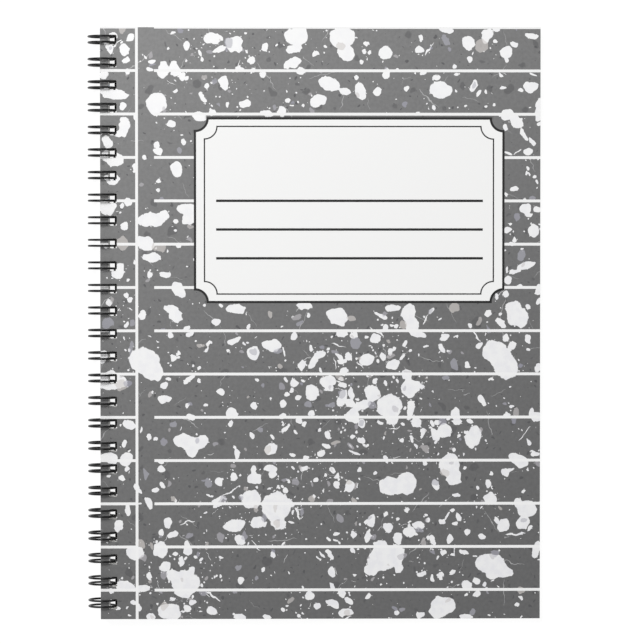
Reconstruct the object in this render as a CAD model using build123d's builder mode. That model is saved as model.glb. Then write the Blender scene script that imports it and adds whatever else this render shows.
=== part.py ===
"""A composition notebook bound with a double-loop wire, lying shut with its front cover up.

Millimetres. +X runs from the wire to the fore edge, +Y from the tail to the head, +Z up.
The origin is under the middle of the whole notebook, on the surface that it lies on.
"""

import os
from math import asin, atan, atan2, cos, degrees, hypot, radians, sin

from build123d import *

# Covers: two equal sheets of laminated card
cover_width = 165.1
cover_height = 222.25
cover_thickness = 0.4

# Leaves: one pile, cut flush with the covers at head and tail
sheet_count = 40
sheet_thickness = 0.11
page_width = 163.5
page_setback = 0.1  # the leaves' spine edge lies this far inside the covers' spine edge

# Wire: one length, formed into double loops and closed to a round ring
wire_diameter = 0.8
ring_room = 4.2  # the ring's inside is this much wider than the pile with its covers
loop_pitch = 25.4 / 3
loop_spacing = 2.25  # between the two wires of one loop
bend_radius = 0.65  # where a loop turns into the straight run to the next one
root_angle = -35.3  # where that bend starts, below the fore edge side of the ring
tip_gap = 0.15  # between a loop's closed end and the straight runs

# Punched row, the same in every sheet
end_margin = 5.0  # the first and last holes' centres are at least this far from head and tail
hole_width = 3.15
hole_play = 0.65  # the holes are this much longer than a loop is wide
hole_corner = 0.4
hole_margin = 3.05  # from a sheet's spine edge to its holes
hole_shift = 0.35  # the row sits this far towards the head

# Clearances
side_gap = 0.075  # between a loop and the head side of its hole
hole_gap = 0.15  # between the ring and the far side of the leaves' holes
page_gap = 0.06  # between the leaves and the wire's straight runs
root_gap = 0.05  # between the wire's bends and the back cover
sweep_gap = 0.05  # between a cover and the edges that it swings past
fore_gap = 0.05  # between the leaves and the back cover at the fore edge

# The ring, and the straight runs that join the loops on its hidden side
pile_thickness = sheet_count * sheet_thickness
wire_radius = wire_diameter / 2
ring_radius = (pile_thickness + 2 * cover_thickness + ring_room) / 2 + wire_radius
ring_outer = ring_radius + wire_radius
bend_start = Vector(cos(radians(root_angle)), 0, sin(radians(root_angle))) * ring_radius
up_the_ring = Vector(-sin(radians(root_angle)), 0, cos(radians(root_angle)))
straight_run = bend_start + up_the_ring * bend_radius

# A loop's closed end stops just short of the straight runs
half_spacing = loop_spacing / 2
run_angle = degrees(atan2(straight_run.Z, straight_run.X))
end_turn = degrees((wire_diameter + tip_gap) / ring_radius + atan(half_spacing / ring_radius))
tip_angle = run_angle + end_turn

# The holes, and how far the covers' spine edge lies beyond the ring's centre
loop_count = int((cover_height - 2 * end_margin) / loop_pitch) + 1
hole_height = loop_spacing + wire_diameter + hole_play
loop_shift = hole_play / 2 - side_gap
overhang = page_setback + hole_margin + hole_width - hole_gap - ring_outer
page_overhang = overhang - page_setback

# Distances from the ring's centre, square to the sheets. Each cover swings clear of what is inside it
page_bottom = straight_run.Z + wire_radius + page_gap
page_top = page_bottom + pile_thickness
front_inner = hypot(page_overhang, page_top) + sweep_gap
front_outer = front_inner + cover_thickness
back_inner = max(root_gap - bend_start.Z, hypot(overhang, front_outer) + sweep_gap)
back_outer = back_inner + cover_thickness

# The sheets run downhill from the ring until the back cover's fore edge lies on the surface
cover_reach = cover_width - overhang
page_reach = page_width - page_overhang
back_slope = degrees(asin(ring_outer / hypot(cover_reach, back_outer)) - atan2(back_outer, cover_reach))
closed_depth = back_inner - fore_gap
back_closing = degrees(
    asin(closed_depth / hypot(page_reach, page_bottom)) - atan2(-page_bottom, page_reach)
)
page_slope = back_slope + back_closing

# The ring rests on the surface, and the whole notebook is centred on the origin
front_reach = cover_reach * cos(radians(page_slope)) + front_outer * sin(radians(page_slope))
ring_x = (ring_outer - front_reach) / 2
ring_z = ring_outer


def ring_plane(slope, shift=0.0):
    """A plane through the ring's centre line that runs downhill to the fore edge by slope degrees."""
    across = (cos(radians(slope)), 0, -sin(radians(slope)))
    upright = (sin(radians(slope)), 0, cos(radians(slope)))
    return Plane(origin=(ring_x, shift, ring_z), x_dir=across, z_dir=upright)


def punched_outline(spine_edge, width):
    """The outline of one sheet with its row of holes, in the sketch that is open."""
    with Locations((spine_edge + width / 2, 0)):
        Rectangle(width, cover_height)
    with Locations((spine_edge + hole_margin + hole_width / 2, hole_shift)):
        with GridLocations(0, loop_pitch, 1, loop_count):
            RectangleRounded(hole_width, hole_height, hole_corner, mode=Mode.SUBTRACT)


# Front cover: lies on the leaves
with BuildPart() as front_cover:
    with BuildSketch(ring_plane(page_slope).offset(front_inner)):
        punched_outline(-overhang, cover_width)
    extrude(amount=cover_thickness)

# Back cover: clear of the wire's bends at the spine, closed against the leaves at the fore edge
with BuildPart() as back_cover:
    with BuildSketch(ring_plane(back_slope).offset(-back_outer)):
        punched_outline(-overhang, cover_width)
    extrude(amount=cover_thickness)

# Leaves: one pile of ruled paper
with BuildPart() as page_block:
    with BuildSketch(ring_plane(page_slope).offset(page_bottom)):
        punched_outline(-page_overhang, page_width)
    extrude(amount=pile_thickness)


# One double loop of the wire, about the ring's centre, with half of the straight run on each side
def ring_place(angle, along):
    """A point on the wire's ring, at an angle up from the fore edge side, and the way out to it."""
    outward = Vector(cos(radians(angle)), 0, sin(radians(angle)))
    return outward * ring_radius + Vector(0, along, 0), outward


loop_arc = 360 + root_angle - tip_angle
run_start = half_spacing + bend_radius

with BuildPart() as double_loop:
    for side in (-1, 1):
        # the wire round the ring, from the closed end over the spine and under the back cover
        place, outward = ring_place(tip_angle, side * half_spacing)
        with BuildSketch(Plane(place, x_dir=outward, z_dir=(-outward.Z, 0, outward.X))):
            Circle(wire_radius)
        revolve(axis=Axis((0, side * half_spacing, 0), (0, -1, 0)), revolution_arc=loop_arc)

        # the bend away from the loop
        place, outward = ring_place(root_angle, side * half_spacing)
        bend_centre = place + Vector(0, side * bend_radius, 0)
        with BuildSketch(Plane(place, x_dir=outward, z_dir=up_the_ring)):
            Circle(wire_radius)
        revolve(axis=Axis(bend_centre, outward * -side), revolution_arc=90)

        # half of the straight run to the next loop
        with BuildSketch(Plane(straight_run + Vector(0, side * run_start, 0), z_dir=(0, side, 0))):
            Circle(wire_radius)
        extrude(amount=loop_pitch / 2 - run_start)

    # the closed end, a half circle that joins the loop's two wires
    place, outward = ring_place(tip_angle, half_spacing)
    with BuildSketch(Plane(place, x_dir=outward, z_dir=(outward.Z, 0, -outward.X))):
        Circle(wire_radius)
    revolve(axis=Axis(place - Vector(0, half_spacing, 0), outward * -1), revolution_arc=180)

# Wire: all the loops in one length
with BuildPart(ring_plane(page_slope, hole_shift + loop_shift)) as wire_binding:
    with GridLocations(0, loop_pitch, 1, loop_count):
        add(double_loop.part)

# Each sub-part goes to its own file
front_cover.part.label = "front_cover"
back_cover.part.label = "back_cover"
page_block.part.label = "page_block"
wire_binding.part.label = "wire_binding"

os.makedirs("parts", exist_ok=True)
for piece in (front_cover, back_cover, page_block, wire_binding):
    export_step(piece.part, f"parts/{piece.part.label}.step")
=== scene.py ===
"""The looks of a wire-bound composition notebook: ruled leaves, printed covers and a double-loop wire."""

import random
from math import atan, atan2, cos, degrees, pi, radians, sin

import bmesh
import bpy
from mathutils import Euler, Matrix, Vector


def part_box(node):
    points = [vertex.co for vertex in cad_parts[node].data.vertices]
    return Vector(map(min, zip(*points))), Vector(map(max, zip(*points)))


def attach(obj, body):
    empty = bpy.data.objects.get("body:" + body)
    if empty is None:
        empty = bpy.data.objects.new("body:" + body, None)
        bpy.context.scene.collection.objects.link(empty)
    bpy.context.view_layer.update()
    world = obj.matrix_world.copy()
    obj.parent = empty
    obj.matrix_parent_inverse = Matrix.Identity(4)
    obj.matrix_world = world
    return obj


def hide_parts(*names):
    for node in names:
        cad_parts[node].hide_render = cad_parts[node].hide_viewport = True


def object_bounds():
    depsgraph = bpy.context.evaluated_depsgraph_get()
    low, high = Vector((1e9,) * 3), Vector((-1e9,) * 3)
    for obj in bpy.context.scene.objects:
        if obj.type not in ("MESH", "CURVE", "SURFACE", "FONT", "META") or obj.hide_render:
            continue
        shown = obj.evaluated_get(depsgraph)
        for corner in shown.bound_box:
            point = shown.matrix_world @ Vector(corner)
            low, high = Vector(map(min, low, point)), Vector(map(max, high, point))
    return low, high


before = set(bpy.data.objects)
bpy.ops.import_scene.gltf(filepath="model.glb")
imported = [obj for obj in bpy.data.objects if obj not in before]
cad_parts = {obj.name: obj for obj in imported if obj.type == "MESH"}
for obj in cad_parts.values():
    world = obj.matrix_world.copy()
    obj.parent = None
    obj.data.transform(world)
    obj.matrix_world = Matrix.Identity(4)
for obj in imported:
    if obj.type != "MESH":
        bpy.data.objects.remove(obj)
cad_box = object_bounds()

# ---------------------------------------------------------------------------------------------------------
# Leaves. Forty loose sheets of ruled writing paper, printed on both sides, guillotined to one size and
# punched along the spine edge in one stroke, so that their holes line up. They are held by the wire alone
# and never lie exactly edge on edge.
# ---------------------------------------------------------------------------------------------------------
millimetre = 0.001
sheet_count = 40
page_width = 0.1635
page_height = 0.22225
pile_thickness = 0.0044
page_thickness = 0.000104  # the pile's share for each sheet is a little more, and the rest is air
page_trim = 0.00018  # the sheets may slide this much under the flush cut of head and tail
page_slide = 0.0003  # towards the fore edge, on the wire
page_jog = page_trim * 0.4  # towards the head or the tail
touching = 0.000001  # nearer than this counts as the same place

loop_pitch = 0.0254 / 3
loop_count = 26
hole_width = 0.00315
hole_height = 0.0037
hole_corner = 0.0004
hole_margin = 0.00305
hole_shift = 0.00035  # the row of holes sits this far towards the head


def sheet_place(node, width, thickness):
    """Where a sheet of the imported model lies: its slope down to the fore edge, and the matrix that
    carries a flat sheet, its spine edge at x = 0 and its underside at z = 0, to that place."""
    low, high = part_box(node)
    across, upright = high.x - low.x, high.z - low.z
    slope = atan2(upright * width - across * thickness, across * width - upright * thickness)
    corner = Vector((low.x, 0, high.z - thickness * cos(slope)))
    return slope, Matrix.Translation(corner) @ Matrix.Rotation(slope, 4, "Y")


def rectangle(bm, x_low, x_high, y_low, y_high):
    """An open rectangle of four edges, with its one face."""
    made = bmesh.ops.create_grid(bm, x_segments=1, y_segments=1, size=0.5)["verts"]
    bmesh.ops.scale(bm, vec=(x_high - x_low, y_high - y_low, 1), verts=made)
    bmesh.ops.translate(bm, vec=((x_low + x_high) / 2, (y_low + y_high) / 2, 0), verts=made)
    return made[0].link_faces[0]


def only(made, kind):
    """The vertices, or the edges, among what an operator made."""
    return [item for item in made if isinstance(item, kind)]


def drawn_out(bm, side, place, reach):
    """Extends the flat sheet's edges that lie at place along one axis (0 or 1) by reach."""
    edges = [edge for edge in bm.edges if all(abs(v.co[side] - place) < touching for v in edge.verts)]
    made = bmesh.ops.extrude_edge_only(bm, edges=edges)["geom"]
    move = [0, 0, 0]
    move[side] = reach
    bmesh.ops.translate(bm, vec=move, verts=only(made, bmesh.types.BMVert))


def punched_sheet(width, height, thickness, corner_segments, panels):
    """A flat sheet with the row of holes. x runs from the spine edge and z from the underside."""
    bm = bmesh.new()
    row_edge = 2 * hole_margin + hole_width
    first = hole_shift - loop_pitch * (loop_count - 1) / 2

    # one hole in its own field of the sheet
    opening = rectangle(
        bm, hole_margin, hole_margin + hole_width, first - hole_height / 2, first + hole_height / 2
    )
    bmesh.ops.bevel(
        bm, geom=list(opening.verts), offset=hole_corner, segments=corner_segments,
        profile=0.5, affect="VERTICES", material=-1,
    )
    rectangle(bm, 0, row_edge, first - loop_pitch / 2, first + loop_pitch / 2)
    bmesh.ops.delete(bm, geom=list(bm.faces), context="FACES_ONLY")
    bmesh.ops.bridge_loops(bm, edges=list(bm.edges))

    # the same field all along the spine edge, then the rest of the sheet
    bmesh.ops.spin(
        bm, geom=list(bm.verts) + list(bm.edges) + list(bm.faces), dvec=(0, loop_pitch, 0),
        cent=(0, 0, 0), axis=(0, 0, 1), angle=0, steps=loop_count - 1, use_duplicate=True,
    )
    bmesh.ops.remove_doubles(bm, verts=bm.verts, dist=touching)
    row_low = first - loop_pitch / 2
    row_high = row_low + loop_pitch * loop_count
    drawn_out(bm, 1, row_low, -height / 2 - row_low)
    drawn_out(bm, 1, row_high, height / 2 - row_high)
    panel = (width - row_edge) / panels
    for number in range(panels):
        drawn_out(bm, 0, row_edge + panel * number, panel)

    # its thickness
    made = bmesh.ops.extrude_face_region(bm, geom=list(bm.faces))["geom"]
    bmesh.ops.translate(bm, vec=(0, 0, thickness), verts=only(made, bmesh.types.BMVert))
    bmesh.ops.recalc_face_normals(bm, faces=bm.faces)
    return bm


def new_piece(bm, name, *finishes):
    """Turns a finished bmesh into an object of that name with its materials."""
    mesh = bpy.data.meshes.new(name)
    bm.to_mesh(mesh)
    bm.free()
    for finish in finishes:
        mesh.materials.append(finish)
    piece = bpy.data.objects.new(name, mesh)
    bpy.context.scene.collection.objects.link(piece)
    return piece


def step(tree, kind, inputs, output=0, **settings):
    """Adds a node. Each input is a plain value or the output of an earlier node."""
    node = tree.nodes.new(kind)
    for setting, value in settings.items():
        setattr(node, setting, value)
    for key, source in inputs.items():
        if isinstance(source, bpy.types.NodeSocket):
            tree.links.new(source, node.inputs[key])
        else:
            node.inputs[key].default_value = source
    return node.outputs[output]


def maths(tree, operation, *values):
    """A sum on numbers."""
    return step(tree, "ShaderNodeMath", dict(enumerate(values)), operation=operation)


def vectors(tree, operation, *values, output=0):
    """A sum on places or colours. A length or a dot product is output 1."""
    return step(tree, "ShaderNodeVectorMath", dict(enumerate(values)), output, operation=operation)


def laid_over(tree, share, under, over):
    """The colour over, laid on the colour under where share is 1."""
    return step(tree, "ShaderNodeMix", {0: share, 6: under, 7: over}, 2, data_type="RGBA")


def shade(tree, place, scale, detail=2.0, dimensions="3D"):
    """Soft noise round 0.5, with features of about 1 / scale."""
    settings = {"Vector": place, "Scale": scale, "Detail": detail}
    return step(tree, "ShaderNodeTexNoise", settings, noise_dimensions=dimensions)


def new_finish(name, roughness, **plain):
    """A material with its shader's uniform numbers set, and its shader and tree."""
    finish = bpy.data.materials.new(name)
    finish.use_nodes = True
    tree = finish.node_tree
    shader = tree.nodes["Principled BSDF"]
    shader.inputs["Roughness"].default_value = roughness
    for socket, value in plain.items():
        shader.inputs[socket.replace("_", " ")].default_value = value
    return finish, tree, shader


def relief(tree, shader, height, distance, strength=1.0):
    """Bump of that depth in metres on the shader."""
    inputs = {"Strength": strength, "Distance": distance, "Height": height}
    tree.links.new(step(tree, "ShaderNodeBump", inputs), shader.inputs["Normal"])


def sheet_coordinates(tree, node, width, thickness, from_head=True):
    """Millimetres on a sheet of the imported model: x from its spine edge, y from its head edge (or its
    tail edge) and z from its underside."""
    slope, place = sheet_place(node, width, thickness)
    low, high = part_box(node)
    corner = place.translation.copy()
    corner.y = high.y if from_head else low.y
    down = -1 if from_head else 1
    turn = Euler((0, -slope, 0))
    scale = Vector((1, down, 1)) / millimetre
    start = corner * scale
    start.rotate(turn)
    where = step(tree, "ShaderNodeTexCoord", {}, "Object")
    inputs = {"Vector": where, "Location": -start, "Rotation": turn, "Scale": scale}
    return step(tree, "ShaderNodeMapping", inputs)


def band(tree, distance, width, softness=0.06):
    """1 within width / 2 of where distance is 0, with a narrow soft edge."""
    inputs = {
        "Value": maths(tree, "ABSOLUTE", distance),
        "From Min": width / 2 + softness / 2, "From Max": width / 2 - softness / 2,
    }
    return step(tree, "ShaderNodeMapRange", inputs, interpolation_type="SMOOTHSTEP")


def writing_paper():
    """Wood-free white paper with pale blue rules and a red margin line, both run off the sheet's edges."""
    rule_spacing, rule_width, head_space, margin = 7.1, 0.3, 22.0, 31.8
    grey_white, white = (0.74, 0.735, 0.715, 1), (0.92, 0.915, 0.90, 1)
    rule_blue, margin_red = (0.33, 0.46, 0.66, 1), (0.74, 0.25, 0.28, 1)
    finish, tree, shader = new_finish("writing_paper", 0.86, Specular_IOR_Level=0.25)
    place = sheet_coordinates(tree, "page_block", page_width, pile_thickness)
    x, y, z = [step(tree, "ShaderNodeSeparateXYZ", {0: place}, axis) for axis in "XYZ"]
    fibres = shade(tree, place, 2.5, 4.0)
    clouds = shade(tree, place, 0.12)
    by_sheet = shade(tree, step(tree, "ShaderNodeCombineXYZ", {"Z": z}), 9.0)
    tone = maths(tree, "ADD", maths(tree, "MULTIPLY", fibres, 0.35), maths(tree, "MULTIPLY", clouds, 0.35))
    tone = maths(tree, "ADD", tone, maths(tree, "MULTIPLY", by_sheet, 0.3))
    colour = laid_over(tree, tone, grey_white, white)
    below_head = maths(tree, "SUBTRACT", y, head_space)
    to_rule = maths(tree, "PINGPONG", below_head, rule_spacing / 2)
    ruled_part = maths(tree, "GREATER_THAN", below_head, -1)
    on_rule = maths(tree, "MULTIPLY", band(tree, to_rule, rule_width), ruled_part)
    ink = maths(tree, "MULTIPLY", on_rule, maths(tree, "MULTIPLY_ADD", fibres, 0.8, 0.25))
    colour = laid_over(tree, ink, colour, rule_blue)
    on_margin = band(tree, maths(tree, "SUBTRACT", x, margin), rule_width)
    colour = laid_over(tree, maths(tree, "MULTIPLY", on_margin, 0.7), colour, margin_red)
    tree.links.new(colour, shader.inputs["Base Color"])
    relief(tree, shader, fibres, 0.00002, 0.5)
    return finish


chance = random.Random(40)
page_slope, pile_place = sheet_place("page_block", page_width, pile_thickness)
one_page = punched_sheet(page_width, page_height - page_trim, page_thickness, 2, 2)
page_mesh = bpy.data.meshes.new("page")
one_page.to_mesh(page_mesh)
one_page.free()

pages = bmesh.new()
for number in range(sheet_count):
    known = len(pages.verts)
    pages.from_mesh(page_mesh)
    pages.verts.ensure_lookup_table()
    slide = chance.uniform(0, page_slide)
    jog = chance.uniform(-page_jog, page_jog)
    lift = pile_thickness * number / sheet_count
    bmesh.ops.transform(
        pages, matrix=pile_place @ Matrix.Translation((slide, jog, lift)), verts=pages.verts[known:]
    )
bpy.data.meshes.remove(page_mesh)
leaves = new_piece(pages, "ruled_leaves", writing_paper())
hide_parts("page_block")
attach(leaves, "leaves")

# ---------------------------------------------------------------------------------------------------------
# Covers. Two equal sheets of stiff white card, printed and film-laminated on the outside and bare within,
# die-cut to size and punched with the same row of holes. The loops pass through them, and each one swings
# round the wire.
# ---------------------------------------------------------------------------------------------------------
cover_width = 0.1651
cover_height = 0.22225
cover_thickness = 0.0004
cut_edge = 0.00005  # the die rounds the cut this much on both faces
warm_tint = (0.60, 0.57, 0.55, 1)
cool_tint = (0.40, 0.40, 0.45, 1)

# The larger splashes of the marbled print: x from the spine edge and y from the head edge to the middle,
# width, height (all in millimetres) and turn in degrees
splashes = [
    (11.5, 3.9, 3, 2.8, 0), (3.4, 8.2, 3.4, 4.4, -35), (9.3, 8.6, 3.6, 5, 0), (9.6, 12.6, 3.6, 2.2, 0),
    (23.6, 16, 4.6, 6.4, 15), (28, 15.8, 4.2, 6.8, -5), (30.8, 18.6, 3.2, 3, 20),
    (32.4, 7.2, 2.9, 4.1, 0), (42.6, 4.5, 7.8, 4.4, 5), (44.6, 8.4, 6, 2, -15), (50.2, 6.4, 5.8, 6, 0),
    (51.6, 8.6, 3.6, 2.6, 0), (56.4, 12.5, 3, 2.4, 0), (61.4, 8, 2.8, 3.6, 5), (52.2, 16, 4.6, 2.6, 5),
    (46.6, 20.9, 3.4, 5.6, -15), (54.4, 28.9, 5, 3.2, -10), (38.6, 26.4, 1.8, 5, -35),
    (21.2, 28.4, 8, 7.6, 0), (20.8, 31.4, 4, 4, 0), (37.2, 33.5, 5.4, 3.4, 5), (42, 31.8, 3, 2.6, 0),
    (26.7, 36.2, 2.9, 2.9, -10), (5.2, 25, 11.6, 3.8, 8), (8, 29.7, 3.2, 2.8, 0),
    (1.4, 17.8, 3.6, 3.6, 10), (8.9, 37.4, 4.2, 8.6, 8), (22, 46.6, 3.3, 3, 0), (4.6, 49.2, 9.4, 5.6, 25),
    (28.6, 53.5, 4, 6.2, 5), (4.6, 57, 6, 4.4, 0), (10.2, 65.4, 3.6, 3, 40), (2.6, 67.4, 6.4, 6, 0),
    (9.4, 74.6, 2.5, 3.4, 30), (19.4, 72.2, 12.6, 5.2, -6), (24, 70.6, 4, 3.6, 0),
    (33, 68.4, 8.4, 4.8, 0), (33.4, 71.6, 5.6, 5.2, 0), (16.8, 81, 7, 5.6, 15), (19.3, 86.6, 7, 3.8, -5),
    (6.6, 91.4, 5.2, 6.4, 15), (18.9, 92.5, 2.7, 2.7, 0), (24.2, 92.8, 4.2, 3, 10),
    (29.4, 98.6, 4.4, 6.2, -35), (28.2, 108.2, 5.8, 5.6, 20), (27.2, 106.8, 6.6, 3.8, 30),
    (25.2, 106.2, 4.6, 2.4, 35), (15.8, 107.8, 2.8, 4, 20), (16.4, 125.4, 12.4, 10.4, 35),
    (19.6, 129, 8.6, 7.6, 20), (1, 123.6, 4, 5.2, 0), (4.4, 132.6, 11.8, 7.4, 8),
    (24, 139.6, 5.6, 3.1, -5), (33.4, 132, 4.8, 2, -30), (50.8, 105.6, 7.8, 3.8, 0),
    (43.1, 110.3, 3.4, 3.2, -10), (49.8, 117.6, 5, 2.2, -20), (57.4, 122.2, 4.9, 4.9, 0),
    (45.2, 137, 2.9, 2.9, 20), (49.2, 145.2, 4.5, 4.2, 0), (10.6, 148.8, 5.4, 3.2, 30),
    (31.6, 155.4, 8.2, 5.2, 15), (37.6, 155.8, 7, 5, -20), (34.2, 156.2, 10.4, 5.4, 0),
    (34.2, 159, 5, 4.6, 45), (9.6, 162, 4.4, 5.8, 0), (3, 161.6, 7, 4.4, 0), (51.1, 160, 2.2, 4, -10),
    (76.3, 104.8, 5.8, 3.2, 0), (89, 108.6, 8.6, 6.6, 15), (105.4, 108.6, 5, 1.9, 25),
    (109.6, 105.3, 5.8, 3, -10), (115.6, 107, 6, 7.4, 5), (117, 111.4, 5, 6.6, -20),
    (119, 115.2, 7, 3, 20), (64.6, 119.4, 7.4, 4, 5), (72.4, 116, 2.7, 2.5, -25),
    (82.4, 122.9, 4.8, 3, -15), (79.8, 125.6, 3, 5.6, 30), (75.6, 126.8, 2.7, 3.7, 15),
    (90.6, 115, 4.4, 3.2, 10), (94.8, 115.8, 3.2, 2.5, 0), (103.2, 117, 4.6, 4, 20),
    (92.6, 123.9, 3, 2.5, 0), (99.8, 124.7, 5.2, 4.6, -15), (109.8, 126.6, 5.2, 3.6, -20),
    (72.8, 133.6, 3.5, 3.1, 0), (68.6, 141.2, 3, 3, 20), (79.2, 137.2, 5.4, 5.8, 0),
    (85.4, 133, 6.8, 5, 0), (90.6, 139.4, 4, 6.4, 20), (94.2, 137.6, 2.6, 5.4, -10),
    (93.4, 141.2, 3.6, 3.6, 0), (94.6, 146, 5.6, 5.8, 0), (98, 142, 7.4, 3.4, -15),
    (101.8, 137.4, 5.8, 6.8, -10), (108.4, 142, 9.6, 9.2, 0), (109.4, 146.8, 5, 5.8, 10),
    (98, 148.6, 3, 3, 0), (64, 158.4, 4.7, 4.5, 0), (82.7, 159.9, 3.3, 3.3, 0), (69.4, 150.6, 2, 4.4, 35),
    (79, 145, 2.9, 2.3, 0), (155.2, 105.6, 6.6, 6.6, 0), (156.8, 108.6, 8.4, 7.6, 35),
    (150.4, 111, 3, 5, -35), (145.8, 107.6, 3.3, 2.9, 0), (129, 116.2, 4, 2.5, -15),
    (128.2, 120.5, 2, 4.4, -40), (148.6, 122, 10.8, 8.4, 20), (152.6, 128, 9.2, 8.6, 15),
    (150.4, 125, 12, 8.4, 45), (152, 116.8, 3, 2.8, 0), (154.6, 119.4, 3, 3.4, 0),
    (160.6, 117.2, 1.7, 3.8, -25), (143, 139.9, 2.1, 4.4, -35), (133.4, 145.6, 3.7, 5.6, -5),
    (133.8, 148.2, 4.2, 2.6, 0), (128.8, 151.8, 5.3, 5, 0), (125.6, 153, 3, 6, -35),
    (120.8, 151.8, 2.3, 3.5, 0), (118.6, 148.4, 3.9, 3.9, 0), (116.4, 143, 3.3, 6.6, 5),
    (116, 135.4, 6.6, 6.8, -20), (115, 130.4, 3.6, 4.6, 0), (119.6, 134.4, 5, 2.6, 35),
    (139.9, 154, 6, 8.8, 10), (163.8, 146.4, 4, 4, 30), (156.8, 162.6, 7.8, 5, 30),
    (57.6, 169.6, 5.6, 3.8, 0), (57.4, 166.4, 2.2, 3.6, 0), (63.8, 165.6, 5, 2.9, 0),
    (64.6, 168, 3, 2.8, 0), (93.4, 172, 3.5, 5.2, 10), (56.4, 177.4, 7.8, 7.2, 25),
    (65.8, 180.2, 11.2, 11.2, 0), (66.8, 186, 5.8, 6.2, 0), (71, 178.6, 4.6, 2.6, 35),
    (59, 186, 4.6, 4.6, 0), (50, 187, 8.8, 4.7, -12), (44, 178.4, 3, 3.4, 0), (18, 178.4, 2.7, 5.2, -35),
    (10.2, 181.4, 2.7, 4.6, 10), (6.8, 187, 4.2, 4.2, -30), (25.1, 186, 3.9, 3.7, 0),
    (27, 190.4, 4.2, 2.7, -20), (22.8, 196.2, 5.6, 6, 0), (32.4, 195.6, 3.3, 6.2, 0),
    (52.2, 192.2, 4, 4.4, -20), (13, 197.4, 6.6, 4.8, 10), (24, 202.4, 3.9, 3.9, 0),
    (34, 203.8, 2.9, 3.3, 15), (31.8, 208.4, 10.8, 9.8, 0), (27.8, 206.4, 7.6, 4.6, 30),
    (30.8, 212, 6.4, 5.4, 0), (18.4, 206, 2.1, 3.6, 0), (9, 209.6, 7.2, 3.6, 5),
    (15.4, 210.8, 6.6, 2.8, 0), (26, 219.6, 9.2, 6, 5), (18.6, 221.4, 3.6, 3, 0),
    (32.8, 218.2, 3.5, 2.9, 20), (34.6, 215.8, 3, 2, -15), (41.5, 219, 4.4, 3.6, 15),
    (101.9, 185.4, 2.9, 5, -5), (107.9, 187.8, 4.5, 4.1, 15), (100.4, 191.4, 2.8, 5, 0),
    (108, 172.4, 7, 7.6, 0), (114.6, 171.2, 7.8, 8.6, 10), (111.3, 172.6, 9, 6.6, -15),
    (106, 199.6, 12.4, 9.4, -15), (111.4, 198.8, 5.4, 8.6, 0), (107.2, 201, 8, 5.4, -20),
    (105, 194.8, 5.4, 3.8, 15), (101.6, 204, 6, 3.4, -10), (112, 203.4, 3.6, 4.2, 10),
    (87, 204.8, 2.8, 4.2, -15), (78.2, 213.4, 3.6, 3.6, 0), (90.6, 212.6, 3.1, 4.6, -20),
    (87, 216.6, 4.8, 2.7, 15), (91.8, 219.8, 6, 3, 0), (131, 164.4, 7.4, 9.6, 0),
    (132.8, 169.2, 5.8, 6.4, 10), (125.8, 172, 2.9, 4.4, -5), (146.4, 177.2, 5, 4.8, 20),
    (152, 167.2, 2.9, 3.1, 15), (160, 181, 7.6, 6.6, 0), (158.8, 186.2, 5.4, 4.8, 0),
    (156.8, 178.6, 3.8, 3.6, 20), (151.4, 187.2, 5, 5.2, 20), (119.6, 187, 4.7, 3.2, -15),
    (115.8, 189.8, 5.5, 4, 0), (111.8, 192.2, 2.7, 4.4, 0), (131, 192.4, 2.9, 3.9, -10),
    (124.8, 192.6, 1.7, 4.4, -20), (145.4, 201.8, 9, 7.8, 10), (148.6, 201.6, 9, 6.4, 25),
    (147.6, 205.2, 5, 5, 0), (150.2, 204.4, 9.6, 5.2, 15), (163.8, 196, 3.4, 6.6, 15),
    (137.4, 209.6, 4.8, 3.8, 0), (141.2, 208, 2.7, 3.4, -30), (141.2, 213, 2.7, 2.5, -30),
    (120.6, 205.4, 4, 1.9, -15), (128.6, 217.4, 9, 7.4, -15), (126, 219.6, 5.4, 4.6, 0),
    (120.2, 221, 3.2, 2.7, 20), (137.4, 221.6, 5.8, 2.2, 10), (129.8, 1, 5.6, 2.6, 5),
    (138, 6.2, 5.4, 5.8, 0), (144.6, 3.4, 3.8, 5.6, 10), (138.5, 11.6, 2.7, 2.6, 0),
    (152.2, 9.6, 5.4, 4.2, 0), (152.2, 12, 1.9, 2.6, 0), (155.4, 6.4, 3.7, 2.1, 0),
    (161.6, 3.3, 5.2, 2.7, 10), (119.7, 8.4, 3.7, 2.2, 0), (107, 9.6, 5.4, 5.4, 0),
    (127.4, 23.6, 8.6, 6.8, 10), (126.2, 18.8, 2.9, 2.2, 0), (139.9, 22, 2.3, 4.5, 10),
    (161.4, 22.4, 5, 4, -5), (164.4, 31, 3.4, 9, 10), (152.6, 32.8, 5.2, 4.4, -15),
    (156, 35.4, 4.6, 6.6, -15), (158.8, 40.4, 2, 4.8, -30), (161.8, 42.8, 1.7, 4.4, -30),
    (160.9, 46.8, 3.6, 3.2, 30), (155.2, 60.5, 3.2, 2, 0), (159.4, 68, 4.5, 3.9, 0),
    (161, 70.4, 3.1, 2, 0), (162.6, 76.4, 3.6, 4.7, 15), (152.8, 76.1, 3, 2.3, 0),
    (159.8, 89.4, 7.6, 3.2, -20), (155.6, 91.8, 4.8, 1.8, 0), (153, 94.8, 2.9, 3.9, -10),
    (164.2, 98.8, 2.8, 4, 0), (73.8, 3.4, 9, 6.8, 10), (72.8, 8.2, 6.4, 3.6, -10),
    (72.2, 13.6, 7.2, 4.4, -20), (75.6, 16.6, 3.3, 3.7, 20), (90.6, 4, 9.6, 8.8, 0),
    (92, 9.6, 6.6, 6.2, 20), (86, 21.4, 8.4, 5.2, 20), (91.6, 24, 4.6, 2.8, 30),
    (81.6, 27.6, 7, 4.6, -10), (97.4, 24.2, 4.5, 6.6, -12), (107.2, 17.6, 2.9, 3.7, 0),
    (68.2, 31.5, 3.5, 4.5, -10), (62.4, 32.4, 5, 2.8, 15), (60.8, 18.2, 2.5, 2.7, 0),
    (104, 24.2, 3, 3.2, 0),
]

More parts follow.
